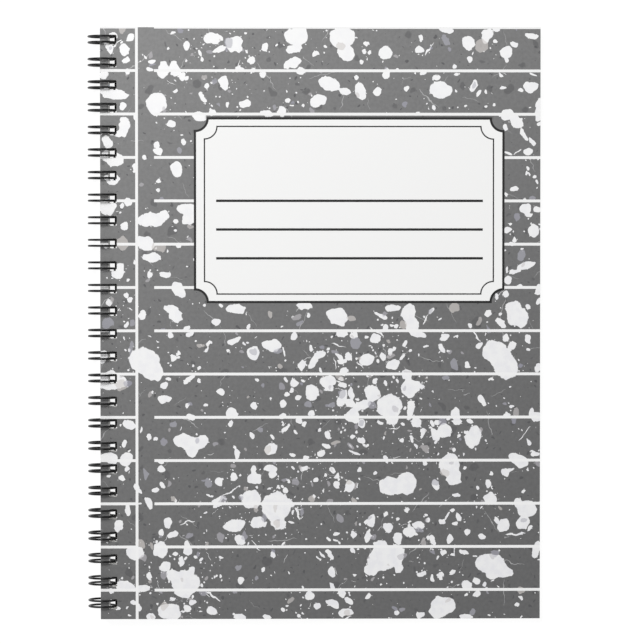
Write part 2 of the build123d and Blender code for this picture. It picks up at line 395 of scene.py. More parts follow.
# Smaller ones, given the same way: towards the spine edge, down the middle and towards the fore edge
spine_chips = [
    (5.1, 3.4, 3.1, 2.4, 0), (19.6, 13.1, 3, 1.3, 0), (18.6, 16.2, 2.2, 1.7, 0),
    (26.9, 2.5, 2.2, 1.2, -20), (37.6, 10.3, 1.5, 2.2, -15), (80.8, 10.4, 1.4, 3, 20),
    (6.7, 40.2, 3.4, 2.8, 0), (13, 34.2, 1.6, 2.6, 0), (2.6, 43.2, 3.6, 5.4, -20),
    (12.9, 52.6, 1.8, 2.8, 0), (16.4, 48.9, 1.6, 2.4, 20), (21.4, 44, 2, 2.6, 0),
    (31.5, 42.8, 2.1, 2.4, -20), (21.9, 57.8, 2.2, 1.6, 0), (21.7, 61.1, 1.7, 1.4, 0),
    (28.1, 72.8, 2, 2, 0), (29.4, 81.9, 2.3, 2.6, 0), (11.2, 102.2, 2.3, 2, 0), (3.4, 103.2, 2, 2.2, 0),
    (9.6, 111.4, 1.9, 2.2, 0), (26.4, 115.6, 1.9, 2.2, 0), (32.4, 113.2, 2.6, 1.8, -20),
    (33.4, 115.2, 3, 1, -30), (41, 118.8, 1.6, 2.6, 20), (40, 121, 0.8, 3, 35), (54, 118.7, 2, 1.2, 20),
    (47.9, 121.4, 1.7, 1.2, 0), (27.2, 124, 2.6, 2.6, 20), (28.7, 122.2, 1.2, 2, 30),
    (36.8, 127.7, 0.9, 2.2, 45), (25.2, 132.2, 1.6, 1.8, 0), (23.6, 134.4, 2.2, 2.4, 0),
    (37.3, 132.5, 1, 1.9, -25), (32.3, 141.7, 1.6, 2.4, 15), (39.6, 142.1, 1.6, 1.6, 0),
    (49, 148.9, 1.8, 2.2, 0), (33.8, 146.3, 3, 1.9, 5), (18.2, 153.7, 1.9, 2.4, -15),
    (20.8, 154.7, 1.7, 1.2, 0), (9, 156.2, 1.7, 2.3, 20), (15.2, 151.2, 0.8, 2.6, 35),
    (22.6, 163.4, 1.8, 2, 0), (22.7, 165.8, 2.8, 2, 0), (8.1, 169, 2.6, 2, 0),
    (44.5, 170.6, 2.5, 2.9, -10), (50.2, 168.7, 3, 2.6, 0), (23, 172, 1.9, 2, 0),
    (20.5, 173.8, 2.4, 2.2, 10), (13.6, 172.4, 2.2, 2.6, -20), (14.4, 174, 2, 1.6, 20),
    (44.2, 177.4, 4.4, 2.2, -10), (48.6, 174.4, 7.4, 0.6, -33), (40.4, 175.4, 2.4, 1, 20),
    (22.8, 189.7, 2, 1.9, 0), (30.4, 200.2, 2, 3.8, -5), (28, 197.8, 2.2, 1.4, -20),
    (52.8, 208, 2.2, 2.2, 0), (4.2, 211.6, 1.6, 2.2, 0), (12.2, 216, 2.8, 1.6, 20),
    (14, 218, 1.8, 3, -20), (42.2, 213.6, 7, 0.7, 38), (52.2, 221.8, 4.8, 2.4, 5),
    (6.8, 218.3, 1.9, 0.9, 0),
]
middle_chips = [
    (69.5, 132.3, 1.6, 1.8, 0), (70, 137.7, 2, 2.2, 0), (71.7, 136.2, 1.7, 2, 20),
    (74, 139.1, 2.4, 2.6, 0), (90.4, 132, 1.6, 1.9, 0), (90.9, 134.5, 2.6, 2.2, -10),
    (85.8, 135.8, 4.4, 2, 0), (103.2, 132.8, 2, 2.2, 20), (106.8, 133.6, 1.7, 3, 0),
    (91.3, 129.2, 2.8, 2.8, 0), (79.1, 120.6, 1.6, 2.2, 10), (89.6, 123.6, 1.4, 4.2, -25),
    (90.4, 125.2, 3.4, 1.6, 5), (105.8, 123.4, 2.4, 3.4, 0), (108.8, 121.6, 1.8, 2.8, 0),
    (106.8, 113, 2.4, 2.6, 0), (78.1, 107.7, 1.5, 1.8, 15), (55.6, 112.6, 1.2, 2.6, 0),
    (68.9, 121.6, 0.9, 3.2, -8), (68.2, 146.2, 2.4, 2, 0), (76.5, 148.8, 2.2, 2.7, 0),
    (73.5, 151.9, 2, 1, 30), (56.6, 153.2, 2.2, 3.2, -15), (64, 153.8, 1.2, 2, -20),
    (85.2, 153, 2.6, 3, 0), (84.6, 157.1, 3.4, 1.6, 30), (97.9, 155.1, 3.2, 2.2, 0),
    (95.2, 159.8, 4.8, 1.2, 22), (71.9, 160.6, 2.5, 1.3, 0), (76.8, 161.5, 1.8, 1.6, 0),
    (107, 162.2, 1.8, 2.8, -10), (104.9, 148.2, 2, 1.5, 25), (76.5, 165.9, 3.2, 2, -15),
    (80.8, 169.7, 2.4, 1.9, 0), (84.4, 168.5, 1.5, 1.6, 0), (88.6, 168.4, 1.9, 2.4, 0),
    (88.9, 171.9, 2.2, 2.6, -25), (66.4, 173, 1.5, 1.8, 0), (69.1, 173.8, 1.8, 2.4, 20),
    (73.9, 182.6, 0.8, 4.6, -18), (107, 182.6, 2, 1.9, 20), (94.5, 190.8, 2.3, 2.3, 0),
    (89, 190.2, 2, 1.2, 0), (88.4, 193, 1.5, 1.2, 0), (86, 192.4, 1.5, 1.7, -20),
    (64.6, 198.1, 1.9, 2.6, 0), (60.9, 203.7, 1.2, 2.2, 5), (86.3, 198.2, 1.9, 3.6, -25),
    (83.4, 197.8, 1.1, 3.2, -45), (81.6, 199.2, 1, 2.6, -40), (81.2, 217.3, 2.5, 2.5, 0),
    (100.4, 213.8, 1.6, 1.8, 0), (93.4, 215.4, 2.4, 3.4, -40), (68.5, 218.8, 2, 2, 0),
    (62.2, 221.6, 3.4, 2.2, 0), (74.4, 221.3, 1.7, 1.7, 0),
]
fore_edge_chips = [
    (110.8, 112.4, 1.6, 2.2, 0), (124, 106.8, 1.6, 3.4, 35), (121.6, 109.8, 0.6, 4.2, 33),
    (148.8, 101.2, 1.8, 2, 0), (160.8, 105, 1.9, 2.2, 15), (164.4, 102.8, 1.8, 2.4, 0),
    (114.2, 118.6, 1.7, 3.4, 25), (113, 123.8, 1.5, 3.2, 30), (122, 119.7, 2, 1, 0),
    (116.2, 121.2, 1.8, 1.2, -20), (137.6, 126.8, 2.1, 2.4, 0), (160.4, 121.1, 1.6, 1.2, 0),
    (164.4, 128, 2.2, 3.4, 0), (138.8, 112, 1.2, 2.4, -20), (141, 116.2, 0.7, 4.8, -25),
    (154.4, 142.3, 2, 1.3, 0), (162, 144.8, 2.2, 3, 0), (152.6, 145.8, 2.6, 1.6, 0),
    (138.7, 147.9, 2.6, 2, 0), (126.6, 148.4, 2.8, 2, -10), (134.5, 153.3, 1.7, 1.6, 0),
    (113.1, 155.3, 1.7, 1.4, 0), (116.9, 154.6, 1.3, 3.6, -15), (118.6, 157.6, 1, 3, -35),
    (163.3, 160.2, 3, 2.4, 0), (121.8, 163.8, 1.8, 1.8, 0), (133.6, 175.9, 3.2, 1.7, 15),
    (145.6, 171.6, 2.1, 3.4, 0), (159.3, 174.2, 2, 1.4, 0), (153.6, 166.4, 2.8, 1.4, -30),
    (114.6, 181.6, 2.4, 1.6, 0), (122.2, 183.5, 1.4, 1.7, 0), (132, 181.4, 2.4, 1.5, -20),
    (129.9, 183.6, 1, 3, 35), (128.3, 185.4, 2.6, 2.2, 20), (134.5, 183.8, 1.9, 3.6, -30),
    (133.6, 186.2, 1.9, 1.7, 0), (137.6, 189.7, 2.7, 2.1, 0), (148.6, 185.2, 2, 2.6, -30),
    (156, 190.2, 7.6, 0.8, -6), (161.6, 188.2, 2.6, 1, -35), (128.8, 197.6, 2.6, 2.2, 10),
    (132.2, 198.3, 1.7, 1.2, 0), (136.6, 197.2, 4, 1.7, 35), (140.6, 198.7, 1.9, 1, 0),
    (124.3, 206.9, 1.4, 2.2, -30), (132.4, 204.8, 2.5, 1.7, 0), (127.8, 205.8, 1.5, 3, 25),
    (144.4, 209.2, 1.7, 1.4, 0), (158.2, 214.5, 2, 1.3, 20), (156.4, 217.5, 2.1, 1.9, -15),
    (111, 220, 2.4, 2.5, 0), (99, 6.7, 1.4, 1.6, 0), (99, 9.6, 1.7, 1.8, 0), (101.1, 9.8, 1.6, 2.6, 0),
    (97.7, 13.4, 1.9, 2, 20), (119.9, 4.2, 1.9, 2.2, 0), (132.9, 14.8, 1.6, 2.2, 0),
    (145.2, 2.6, 4.2, 4.6, 0), (148.4, 0.8, 3.6, 1.6, 5), (147.9, 5.6, 1.8, 1.4, 0),
    (115, 23.2, 1.6, 1.8, 0), (133.4, 18.2, 1.6, 1.4, 0), (144.7, 24.7, 1.3, 1.5, 0),
    (151.4, 22.8, 2.4, 1.1, 5), (150.6, 17.9, 1.4, 2, -30), (157.4, 23.7, 2.2, 1.6, 0),
    (125.4, 30, 1.2, 1.9, 0), (162.2, 17.8, 2.6, 0.8, 25), (96, 19, 1.8, 1.9, 0),
    (160.2, 53, 1.4, 1.6, 0), (159.8, 54.9, 1.1, 2, 0), (162.9, 56, 1.5, 1.5, 20),
    (152.1, 62.5, 1.4, 2, -20), (163.9, 68.3, 2.6, 2, 0), (154.8, 79.6, 1.4, 1.6, 0),
    (158.5, 82.8, 1.5, 1.1, 0), (152.4, 90.8, 1, 2.2, 25), (157.2, 97.2, 1.9, 1.5, 0),
    (152.2, 100.2, 2.2, 2.6, 0), (152.8, 47.2, 2.6, 1.2, 25), (156.4, 46.6, 4.4, 0.5, -38),
    (151.6, 37.4, 1.6, 2, 0),
]

# Patches of thin translucent colour over the splashes and the ground, given the same way
warm_patches = [
    (90.4, 7, 3.9, 3.5, -15), (143, 7, 4.6, 5, -10), (8.4, 1.2, 2.6, 2.8, 0), (8.3, 81.3, 4.4, 4.8, 20),
    (21.8, 82.4, 6, 3.6, 10), (7.9, 134.4, 4, 5, 0), (113.6, 111.8, 3, 3.4, 0), (133, 105.3, 3.2, 3.4, 0),
    (62.9, 158.6, 2.6, 3, 0), (14.8, 194, 2.6, 4, -35), (24.2, 217.4, 2.8, 3, 0), (129.2, 167, 3, 3, 0),
    (93.2, 170.4, 2.6, 2.2, 0), (158.2, 212, 2.9, 2.1, 0), (79.2, 177.2, 2.4, 2.2, 0),
    (27, 176.8, 2, 2, 0), (38, 119.5, 3.4, 1.4, -5), (63.8, 107.9, 2, 2.6, -15), (94, 109.2, 2.8, 2.2, 0),
    (67.2, 127.4, 2.1, 2, 0), (88, 156.2, 3.4, 1.6, -5), (92.8, 220.2, 2.2, 2.4, 0),
    (95, 178, 2.2, 2.6, 0), (66, 186.4, 2.4, 3.4, 0),
]
cool_patches = [
    (2.8, 111.2, 4.2, 4.2, 0), (12, 111.2, 2, 2.6, 0), (43.4, 20.5, 2.6, 2.6, 0),
    (95.8, 118.6, 4.2, 4.4, 0), (57.4, 121.6, 2.8, 2.1, 10), (90.5, 137.8, 2.8, 2.9, 0),
    (86.6, 141.6, 2.6, 2.4, 0), (78, 141.5, 2.3, 2.7, 0), (40.4, 171.1, 3.2, 3.7, 0),
    (16.9, 167.8, 1.5, 4, -10), (158, 85.6, 3, 4.8, 20), (133, 126.5, 2.1, 4.6, -25),
    (159.2, 185.6, 2.8, 1.9, -5), (119.8, 189, 3.2, 2.3, -15), (129.6, 5, 2, 4.6, -30),
    (48.4, 6, 2.6, 4, 20), (27.3, 149, 2.1, 2, 0), (60.5, 151.1, 2.5, 2.3, 0), (11.4, 120, 1.4, 5, 10),
    (139.9, 21.8, 1.3, 2.2, 10), (29.4, 45.9, 2, 2.6, 0), (51.6, 203, 2.6, 2, -20),
    (75.2, 111.4, 2.8, 1.6, -25), (66.4, 121.5, 3.6, 1.4, 0), (97.8, 148.4, 1.8, 2, -15),
    (75.4, 181.6, 1.2, 3.6, 0), (58.6, 206.6, 2, 1.6, 0), (123.6, 107, 1.6, 2.4, 30),
    (129.4, 131.6, 2.8, 1.8, 0), (125.6, 171, 2.6, 2.6, 0), (139.6, 219.8, 2.4, 2.4, 0),
    (61, 184.2, 2.2, 2.6, 0),
]

# Where the smallest splashes crowd, given the same way
crowded = [
    (102, 136, 60, 50, 0), (62, 180, 36, 44, 0), (124, 152, 44, 34, 0), (46, 14, 34, 26, 0),
    (30, 204, 40, 36, 0), (84, 172, 40, 30, 0), (112, 196, 40, 36, 0),
]


def field_of_ovals(ovals):
    """A group that gives the squared distance to the nearest of these ovals, 0 at its middle and 1 on its
    outline, or the distance that came in where that is less."""
    group = bpy.data.node_groups.new("field_of_ovals", "ShaderNodeTree")
    group.interface.new_socket("Place", in_out="INPUT", socket_type="NodeSocketVector")
    group.interface.new_socket("Distance", in_out="INPUT", socket_type="NodeSocketFloat")
    group.interface.new_socket("Distance", in_out="OUTPUT", socket_type="NodeSocketFloat")
    place, nearest, _ = group.nodes.new("NodeGroupInput").outputs
    melted = 0.7  # how softly ovals that touch run together
    level = vectors(group, "MULTIPLY_ADD", place, (1, 1, 0), (0, 0, 1))
    for x, y, width, height, turn in ovals:
        right, down = cos(radians(turn)), sin(radians(turn))
        along = Vector((right, down, -x * right - y * down)) * 2 / width
        across = Vector((-down, right, x * down - y * right)) * 2 / height
        along = vectors(group, "DOT_PRODUCT", level, along, output=1)
        across = vectors(group, "DOT_PRODUCT", level, across, output=1)
        distance = maths(group, "MULTIPLY_ADD", along, along, maths(group, "MULTIPLY", across, across))
        nearest = maths(group, "SMOOTH_MIN", distance, nearest, melted)
    group.links.new(nearest, group.nodes.new("NodeGroupOutput").inputs[0])
    return group


def nearest_of(tree, place, ovals):
    """Squared distance to the nearest of these ovals, a few dozen to a group, which is quicker to make."""
    far_off = 90.0
    group_size = 30
    nearest = far_off
    for first in range(0, len(ovals), group_size):
        group = field_of_ovals(ovals[first:first + group_size])
        nearest = step(tree, "ShaderNodeGroup", {"Place": place, "Distance": nearest}, node_tree=group)
    return nearest


def rise(tree, value, outside, inside):
    """Softly from 0 where value is at outside to 1 where it is at inside."""
    inputs = {"Value": value, "From Min": outside, "From Max": inside}
    return step(tree, "ShaderNodeMapRange", inputs, interpolation_type="SMOOTHSTEP")


def thrown(tree, random_place, reach):
    """A shift of up to that reach on x and y, from three numbers round 0.5."""
    centred = vectors(tree, "SUBTRACT", random_place, (0.5, 0.5, 0.5))
    return vectors(tree, "MULTIPLY", centred, (reach * 2, reach * 2, 0))


def wandering(tree, place, size, reach):
    """The place, pushed about in soft waves of that size, up to about that reach."""
    noise = shade(tree, place, 1 / size, 1.0, "2D").node.outputs["Color"]  # mostly 0.25 to 0.75
    return vectors(tree, "ADD", place, thrown(tree, noise, reach * 2))


def chipped(tree, place, size, reach):
    """The place, shifted by one amount all over each small cell, so that outlines break there."""
    inputs = {"Vector": place, "Scale": 1 / size}
    own = step(tree, "ShaderNodeTexVoronoi", inputs, "Color", voronoi_dimensions="2D")
    return vectors(tree, "ADD", place, thrown(tree, own, reach))


def strewn(tree, place, crowd, cell, sizes, share, slimness, softness, start):
    """Small splashes, at most one to a cell, between two half lengths and two degrees of slimness, in that
    share of the cells. Gives 1 inside them, and each cell's own three random numbers. A different start
    gives other splashes."""
    scatter, rarer_when_large = 0.75, 2.5
    moved = vectors(tree, "ADD", place, (start, start / 2, 0))
    inputs = {"Vector": moved, "Scale": 1 / cell, "Randomness": scatter}
    middle = step(tree, "ShaderNodeTexVoronoi", inputs, "Position", voronoi_dimensions="2D")
    own = middle.node.outputs["Color"]
    first, second, third = [step(tree, "ShaderNodeSeparateXYZ", {0: own}, axis) for axis in "XYZ"]
    chance_of_one = step(tree, "ShaderNodeTexWhiteNoise", {"Vector": own}, "Value")
    away = vectors(tree, "SUBTRACT", moved, middle)
    turn = maths(tree, "MULTIPLY", first, 2 * pi)
    away = step(tree, "ShaderNodeVectorRotate", {"Vector": away, "Angle": turn}, rotation_type="Z_AXIS")
    slim = maths(tree, "MULTIPLY_ADD", second, slimness[1] - slimness[0], slimness[0])
    stretch = step(tree, "ShaderNodeCombineXYZ", {"X": 1.0, "Y": slim, "Z": 0.0})
    away = vectors(tree, "LENGTH", vectors(tree, "MULTIPLY", away, stretch), output=1)
    large = maths(tree, "POWER", third, rarer_when_large)
    size = maths(tree, "MULTIPLY_ADD", large, sizes[1] - sizes[0], sizes[0])
    inside = rise(tree, maths(tree, "SUBTRACT", away, size), softness, 0.0)
    there = maths(tree, "LESS_THAN", chance_of_one, maths(tree, "MULTIPLY", crowd, share))
    return maths(tree, "MULTIPLY", inside, there), own


def marbled_print():
    """The marbled pattern as a group: grey ground, white splashes from dust to pebbles, and thin patches."""
    group = bpy.data.node_groups.new("marbled_print", "ShaderNodeTree")
    group.interface.new_socket("Place", in_out="INPUT", socket_type="NodeSocketVector")
    group.interface.new_socket("Color", in_out="OUTPUT", socket_type="NodeSocketColor")
    place = group.nodes.new("NodeGroupInput").outputs[0]
    place = vectors(group, "MULTIPLY", place, (1, 1, 0))

    # the ground: a grey with painted light, lighter towards the head and the spine edge where the light
    # falls, and deeper towards the fore edge and the tail
    painted_falloff = Vector((-0.28 / cover_width, -0.72 / cover_height, 0)) * millimetre
    painted_light = vectors(group, "DOT_PRODUCT", place, painted_falloff, output=1)
    painted_light = maths(group, "POWER", maths(group, "MAXIMUM", maths(group, "ADD", painted_light, 1.0), 0.0), 1.5)
    ground = laid_over(group, painted_light, (0.122, 0.122, 0.123, 1), (0.2275, 0.2275, 0.2275, 1))

    # its soft darker clouds, smudges and specks, and a faint mottle
    dark = (0.07, 0.07, 0.075, 1)
    everywhere = 1.0
    cloud_depth, smudge_depth, speck_depth, mottle_depth = 0.13, 0.5, 0.75, 0.3
    clouds = shade(group, place, 0.3, 4.0, "2D")
    ground = laid_over(group, maths(group, "MULTIPLY", clouds, cloud_depth), ground, dark)
    loose = wandering(group, place, size=3.0, reach=0.5)
    smudge, _ = strewn(
        group, loose, everywhere,
        cell=9.0, sizes=(0.4, 1.9), share=0.55, slimness=(1.0, 2.5), softness=0.7, start=31.0,
    )
    ground = laid_over(group, maths(group, "MULTIPLY", smudge, smudge_depth), ground, dark)
    speck, _ = strewn(
        group, loose, everywhere,
        cell=3.2, sizes=(0.12, 0.6), share=0.4, slimness=(1.0, 2.5), softness=0.2, start=71.0,
    )
    ground = laid_over(group, maths(group, "MULTIPLY", speck, speck_depth), ground, dark)
    mottle = shade(group, place, 0.8, 3.0, "2D")
    mottle = maths(group, "MULTIPLY_ADD", mottle, mottle_depth, 1 - mottle_depth / 2)
    ground = vectors(group, "MULTIPLY", ground, mottle)

    # the white splashes, first those with a place of their own
    bent = wandering(group, place, size=4.5, reach=0.5)
    bent = wandering(group, bent, size=1.5, reach=0.13)
    bent = chipped(group, bent, size=1.5, reach=0.15)
    nearest = nearest_of(group, bent, splashes + spine_chips + middle_chips + fore_edge_chips)
    pebbles = rise(group, nearest, 0.98, 0.88)

    # then the small ones, which are thickest where they crowd and close round the large ones
    crowd = rise(group, nearest_of(group, place, crowded), 1.4, 0.2)
    patchy = rise(group, shade(group, place, 0.06, 2.0, "2D"), 0.42, 0.66)
    crowd_share, patchy_share, least_share = 0.75, 0.5, 0.12
    patchy = maths(group, "MULTIPLY_ADD", patchy, patchy_share, least_share)
    crowd = maths(group, "MULTIPLY_ADD", crowd, crowd_share, patchy)
    beside_large, away_from_large = 0.75, 0.4
    spatter = maths(group, "MULTIPLY_ADD", rise(group, nearest, 9.0, 1.0), beside_large, away_from_large)
    spatter = maths(group, "MULTIPLY", crowd, spatter)
    chips, _ = strewn(
        group, bent, crowd,
        cell=6.0, sizes=(0.5, 1.3), share=0.2, slimness=(1.0, 1.8), softness=0.07, start=5.0,
    )
    crumbs, _ = strewn(
        group, bent, spatter,
        cell=3.4, sizes=(0.26, 0.85), share=0.48, slimness=(1.0, 2.0), softness=0.06, start=17.0,
    )
    dust, _ = strewn(
        group, place, spatter,
        cell=1.9, sizes=(0.1, 0.4), share=0.36, slimness=(1.0, 1.7), softness=0.06, start=43.0,
    )
    hairs, _ = strewn(
        group, loose, spatter,
        cell=9.0, sizes=(1.0, 3.4), share=0.45, slimness=(12.0, 26.0), softness=0.08, start=61.0,
    )
    streak, _ = strewn(
        group, loose, everywhere,
        cell=15.0, sizes=(2.5, 6.5), share=0.7, slimness=(35.0, 60.0), softness=0.1, start=97.0,
    )
    faint_streak = maths(group, "MULTIPLY", streak, 0.35)
    white = pebbles
    for more in (chips, crumbs, dust, hairs, faint_streak):
        white = maths(group, "MAXIMUM", white, more)
    milky = rise(group, shade(group, place, 0.35, 3.0, "2D"), 0.3, 0.65)
    milky = laid_over(group, milky, (0.775, 0.775, 0.80, 1), (0.825, 0.825, 0.83, 1))
    # painted light: the white splashes are also painted brighter towards the head and the spine edge
    milky = laid_over(group, maths(group, "MULTIPLY", painted_light, 0.7), milky, (0.95, 0.95, 0.95, 1))
    colour = laid_over(group, white, ground, milky)

    # the thin patches, some placed and some strewn
    warm_depth, cool_depth, strewn_depth = 0.62, 0.6, 0.55
    warm = rise(group, nearest_of(group, bent, warm_patches), 1.05, 0.95)
    colour = laid_over(group, maths(group, "MULTIPLY", warm, warm_depth), colour, warm_tint)
    cool = rise(group, nearest_of(group, bent, cool_patches), 1.08, 0.92)
    colour = laid_over(group, maths(group, "MULTIPLY", cool, cool_depth), colour, cool_tint)
    patch, own = strewn(
        group, bent, crowd,
        cell=7.0, sizes=(0.5, 1.7), share=0.6, slimness=(1.0, 2.0), softness=0.25, start=83.0,
    )
    warmth = step(group, "ShaderNodeSeparateXYZ", {0: own}, 1)
    tint = laid_over(group, warmth, (0.36, 0.36, 0.44, 1), warm_tint)
    colour = laid_over(group, maths(group, "MULTIPLY", patch, strewn_depth), colour, tint)

    out = group.nodes.new("NodeGroupOutput")
    group.links.new(colour, out.inputs[0])
    return group


def cover_rules(tree, x, y):
    """The white rules across the print, and the margin line down it, with a gap after the line."""
    first, spacing, rule_width = 0.2, 16.24, 1.05
    margin_line, gap_low, gap_high = 13.65, 14.0, 20.2
    bare_edge = 0.25  # along the head edge the print stops this much short of the cut
    to_rule = maths(tree, "PINGPONG", maths(tree, "SUBTRACT", y, first), spacing / 2)
    after_line, before_rules = maths(tree, "GREATER_THAN", x, gap_low), maths(tree, "LESS_THAN", x, gap_high)
    outside_gap = maths(tree, "SUBTRACT", 1.0, maths(tree, "MULTIPLY", after_line, before_rules))
    across = maths(tree, "MULTIPLY", band(tree, to_rule, rule_width), outside_gap)
    across = maths(tree, "MAXIMUM", across, band(tree, y, bare_edge * 2))
    return maths(tree, "MAXIMUM", across, band(tree, maths(tree, "SUBTRACT", x, margin_line), rule_width))


def notched_plate(tree, place, left, right, top, bottom, notch):
    """Distance out from the outline of a rectangle whose corners are scooped out by quarter circles."""
    middle = ((left + right) / 2, (top + bottom) / 2, 0)
    half = ((right - left) / 2, (bottom - top) / 2, 0)
    corner = vectors(tree, "ABSOLUTE", vectors(tree, "SUBTRACT", place, middle))
    corner = vectors(tree, "MULTIPLY", vectors(tree, "SUBTRACT", corner, half), (1, 1, 0))
    x, y = [step(tree, "ShaderNodeSeparateXYZ", {0: corner}, axis) for axis in "XY"]
    scoop = maths(tree, "SUBTRACT", notch, vectors(tree, "LENGTH", corner, output=1))
    return maths(tree, "MAXIMUM", maths(tree, "MAXIMUM", x, y), scoop)


def name_label(tree, place, x, y, colour):
    """A white label with a heavy and a light border and three writing lines. The title's space is bare."""
    ink, label_white = (0.005, 0.005, 0.005, 1), (0.87, 0.87, 0.865, 1)
    heavy_line, light_line, writing_line = 0.86, 0.5, 0.92
    writing_heights, writing_middle, writing_length = (65.15, 75.9, 86.7), 93.45, 100.1
    top = 34.3
    plate = notched_plate(tree, place, 35.5, 151.2, top, 103.1, 4.75)
    border = notched_plate(tree, place, 39.05, 147.45, 37.3, 100.1, 4.7)

    # a dark edge above the plate, the plate itself, and its lines
    above = maths(tree, "MULTIPLY", rise(tree, plate, 1.3, 0.0), maths(tree, "LESS_THAN", y, top + 0.3))
    colour = laid_over(tree, maths(tree, "MULTIPLY", above, 0.55), colour, ink)
    colour = laid_over(tree, rise(tree, plate, 0.03, -0.03), colour, label_white)
    lines = maths(tree, "MAXIMUM", band(tree, plate, heavy_line), band(tree, border, light_line))
    writing = 0.0
    for height in writing_heights:
        to_line = maths(tree, "SUBTRACT", y, height)
        writing = maths(tree, "MAXIMUM", band(tree, to_line, writing_line), writing)
    along = band(tree, maths(tree, "SUBTRACT", x, writing_middle), writing_length)
    lines = maths(tree, "MAXIMUM", lines, maths(tree, "MULTIPLY", writing, along))
    return laid_over(tree, lines, colour, ink)


def printed_film(node, from_head, labelled):
    """The printed outer face of a cover under its clear film, which shows the card's faint waviness."""
    finish, tree, shader = new_finish(
        node + "_print", 0.42, Specular_IOR_Level=0.3, Coat_Weight=0.25, Coat_Roughness=0.2
    )
    place = sheet_coordinates(tree, node, cover_width, cover_thickness, from_head)
    x, y = [step(tree, "ShaderNodeSeparateXYZ", {0: place}, axis) for axis in "XY"]
    colour = step(tree, "ShaderNodeGroup", {"Place": place}, node_tree=marbling)
    unprinted = (0.86, 0.86, 0.86, 1)
    colour = laid_over(tree, cover_rules(tree, x, y), colour, unprinted)
    if labelled:
        colour = name_label(tree, place, x, y, colour)
    tree.links.new(colour, shader.inputs["Base Color"])
    waves, grain = shade(tree, place, 0.04, 1.0), shade(tree, place, 1.4, 3.0)
    height = maths(tree, "MULTIPLY_ADD", waves, 20.0, grain)
    relief(tree, shader, height, 0.0000025)
    return finish


def bare_card(name, pale, dark, grain):
    """Uncoated card with its pressed fibres just visible, stretched by the three numbers of grain."""
    finish, tree, shader = new_finish(name, 0.8, Specular_IOR_Level=0.3)
    where = step(tree, "ShaderNodeTexCoord", {}, "Object")
    place = step(tree, "ShaderNodeMapping", {"Vector": where, "Scale": grain})
    fibres = shade(tree, place, 1.0, 4.0)
    clouds = shade(tree, place, 0.07, 2.0)
    tone = maths(tree, "MULTIPLY", maths(tree, "ADD", fibres, clouds), 0.5)
    tree.links.new(laid_over(tree, rise(tree, tone, 0.2, 0.8), dark, pale), shader.inputs["Base Color"])
    relief(tree, shader, fibres, 0.00001, 0.6)
    return finish


def card_cover(name, node, outside, *finishes):
    """One cover in its place: the first finish on its outer face, then the inner face and the cut edges.
    Its outer face is up where outside is 1 and down where it is -1."""
    bm = punched_sheet(cover_width, cover_height, cover_thickness, 3, 6)
    rims = [
        edge for edge in bm.edges
        if edge.calc_face_angle(0) > 1 and abs(edge.verts[0].co.z - edge.verts[1].co.z) < touching
    ]
    bmesh.ops.bevel(bm, geom=rims, offset=cut_edge, segments=2, profile=0.5, affect="EDGES", material=-1)
    bm.normal_update()
    for face in bm.faces:
        outward = face.normal.z * outside
        face.material_index = 0 if outward > 0.7 else 1 if outward < -0.7 else 2
    bmesh.ops.transform(bm, matrix=sheet_place(node, cover_width, cover_thickness)[1], verts=bm.verts)
    cover = new_piece(bm, name, *finishes)
    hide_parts(node)
    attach(cover, node)


marbling = marbled_print()
inner_face = bare_card("card_inner_face", (0.86, 0.86, 0.845, 1), (0.74, 0.74, 0.72, 1), (2200, 900, 2200))
cut_plies = bare_card("card_cut_edge", (0.80, 0.80, 0.78, 1), (0.56, 0.56, 0.54, 1), (1500, 1500, 14000))
front_print = printed_film("front_cover", True, True)
back_print = printed_film("back_cover", False, False)
card_cover("printed_front_cover", "front_cover", 1, front_print, inner_face, cut_plies)
card_cover("printed_back_cover", "back_cover", -1, back_print, inner_face, cut_plies)

# ---------------------------------------------------------------------------------------------------------
# Wire. One length of steel wire with a black nylon coat, bent into a comb of narrow double loops and then
# pressed shut to a ring through the holes. Straight runs join the loops on the side hidden in the notebook,
# and each loop's closed end stops just short of them.
# ---------------------------------------------------------------------------------------------------------
wire_diameter = 0.0008
loop_spacing = 0.00225
bend_radius = 0.00065
root_angle = -35.3  # where the bend to the straight run starts, below the fore edge side of the ring
tip_gap = 0.00015
core_inset = wire_diameter * 0.12  # the coat shows as a rim round the cut core
loop_shift = 0.00025  # the loops sit this much nearer to the head than their holes

low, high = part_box("wire_binding")
ring_outer = (high.z - low.z) / 2
ring_radius = ring_outer - wire_diameter / 2
ring_middle = Vector((low.x + ring_outer, hole_shift + loop_shift, low.z + ring_outer))


def outward_at(angle):
    """The way out from the ring's centre at an angle up from the fore edge side."""
    return Vector((cos(radians(angle)), 0, sin(radians(angle))))


